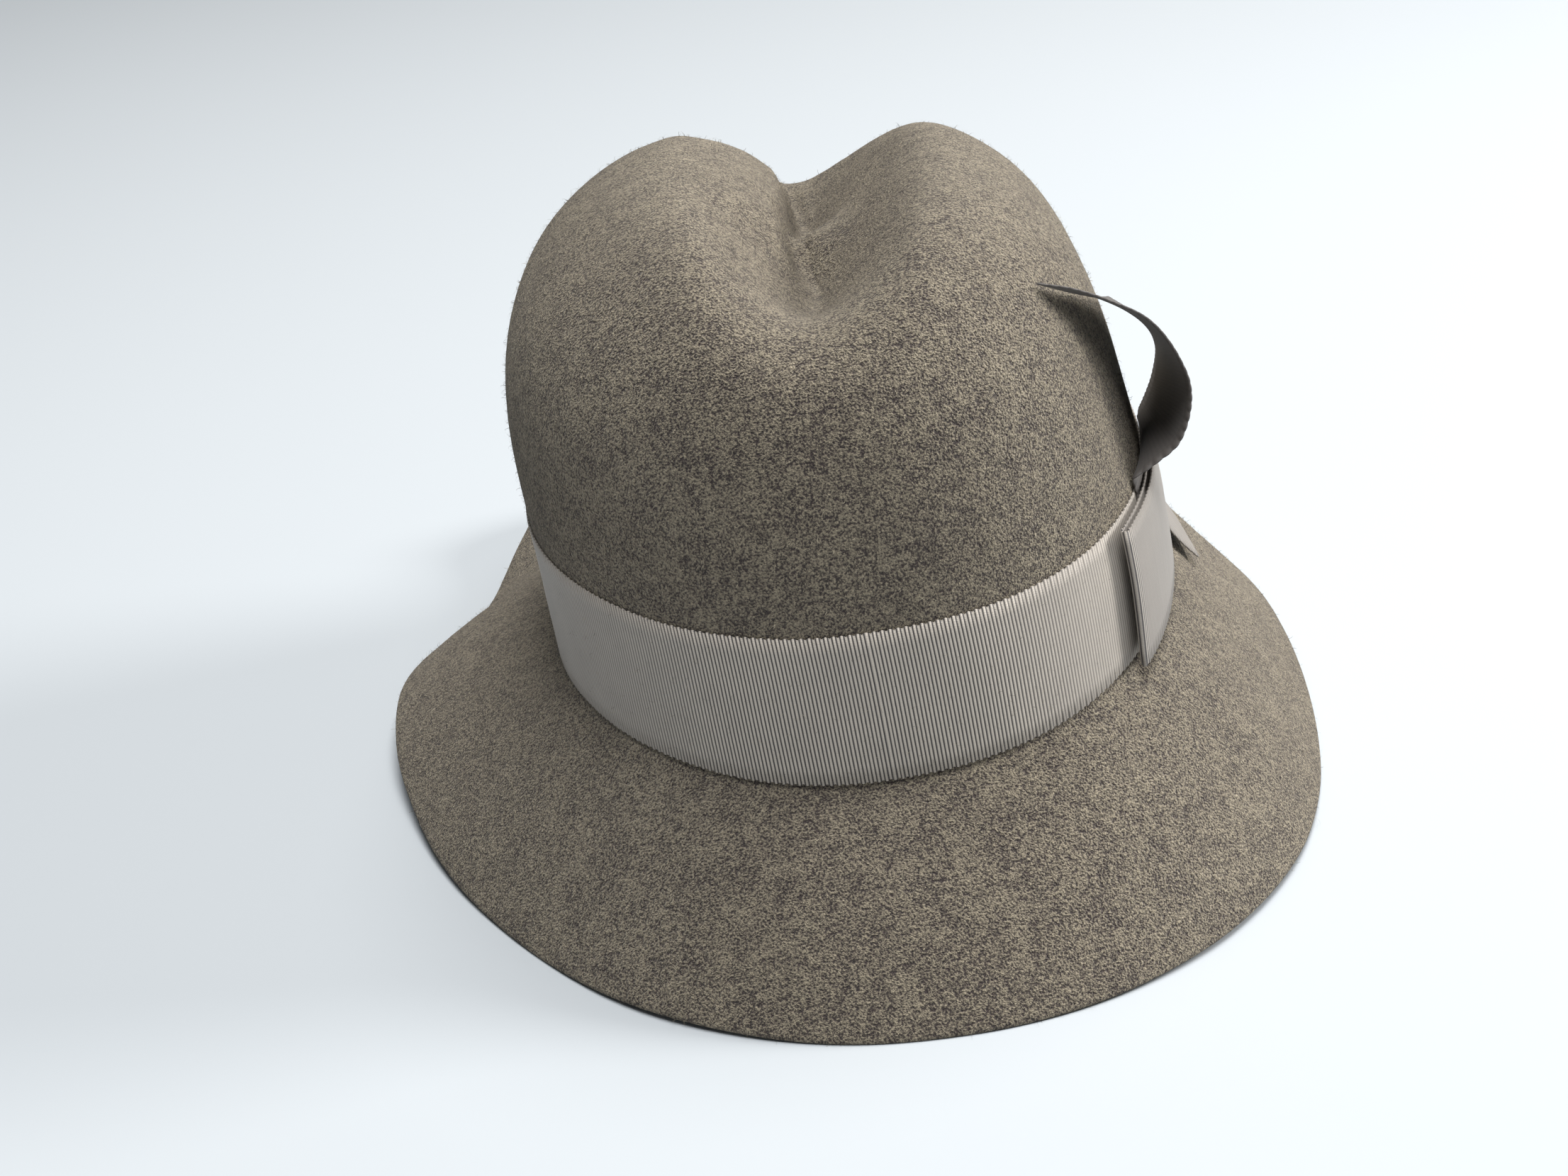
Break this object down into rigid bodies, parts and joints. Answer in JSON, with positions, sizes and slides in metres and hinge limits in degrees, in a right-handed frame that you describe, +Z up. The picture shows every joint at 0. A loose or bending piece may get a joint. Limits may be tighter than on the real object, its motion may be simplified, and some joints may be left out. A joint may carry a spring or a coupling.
{
  "type": "felt hat",
  "caption": "Soft felt hat with a teardrop-creased crown, a turned-down wavy brim, a ribbon band and a flat side bow with a curled tail.",
  "frame": {"origin": "on the surface the hat stands on, under the middle of the whole hat", "axes": "+Z up, -Y to the front of the hat, +X to the wearer's left"},
  "size_m": [0.2622, 0.3088, 0.1662],
  "materials": {
    "felt": "matt, mottled, with short loose fibres",
    "ribbon": "ribbed, with a soft sheen"
  },
  "bodies": {
    "root": {"felt_body": "felt", "hat_band": "ribbon", "bow_loop": "ribbon", "bow_knot": "ribbon", "bow_curl_tail": "ribbon", "bow_front_tail": "ribbon"}
  },
  "joints": []
}
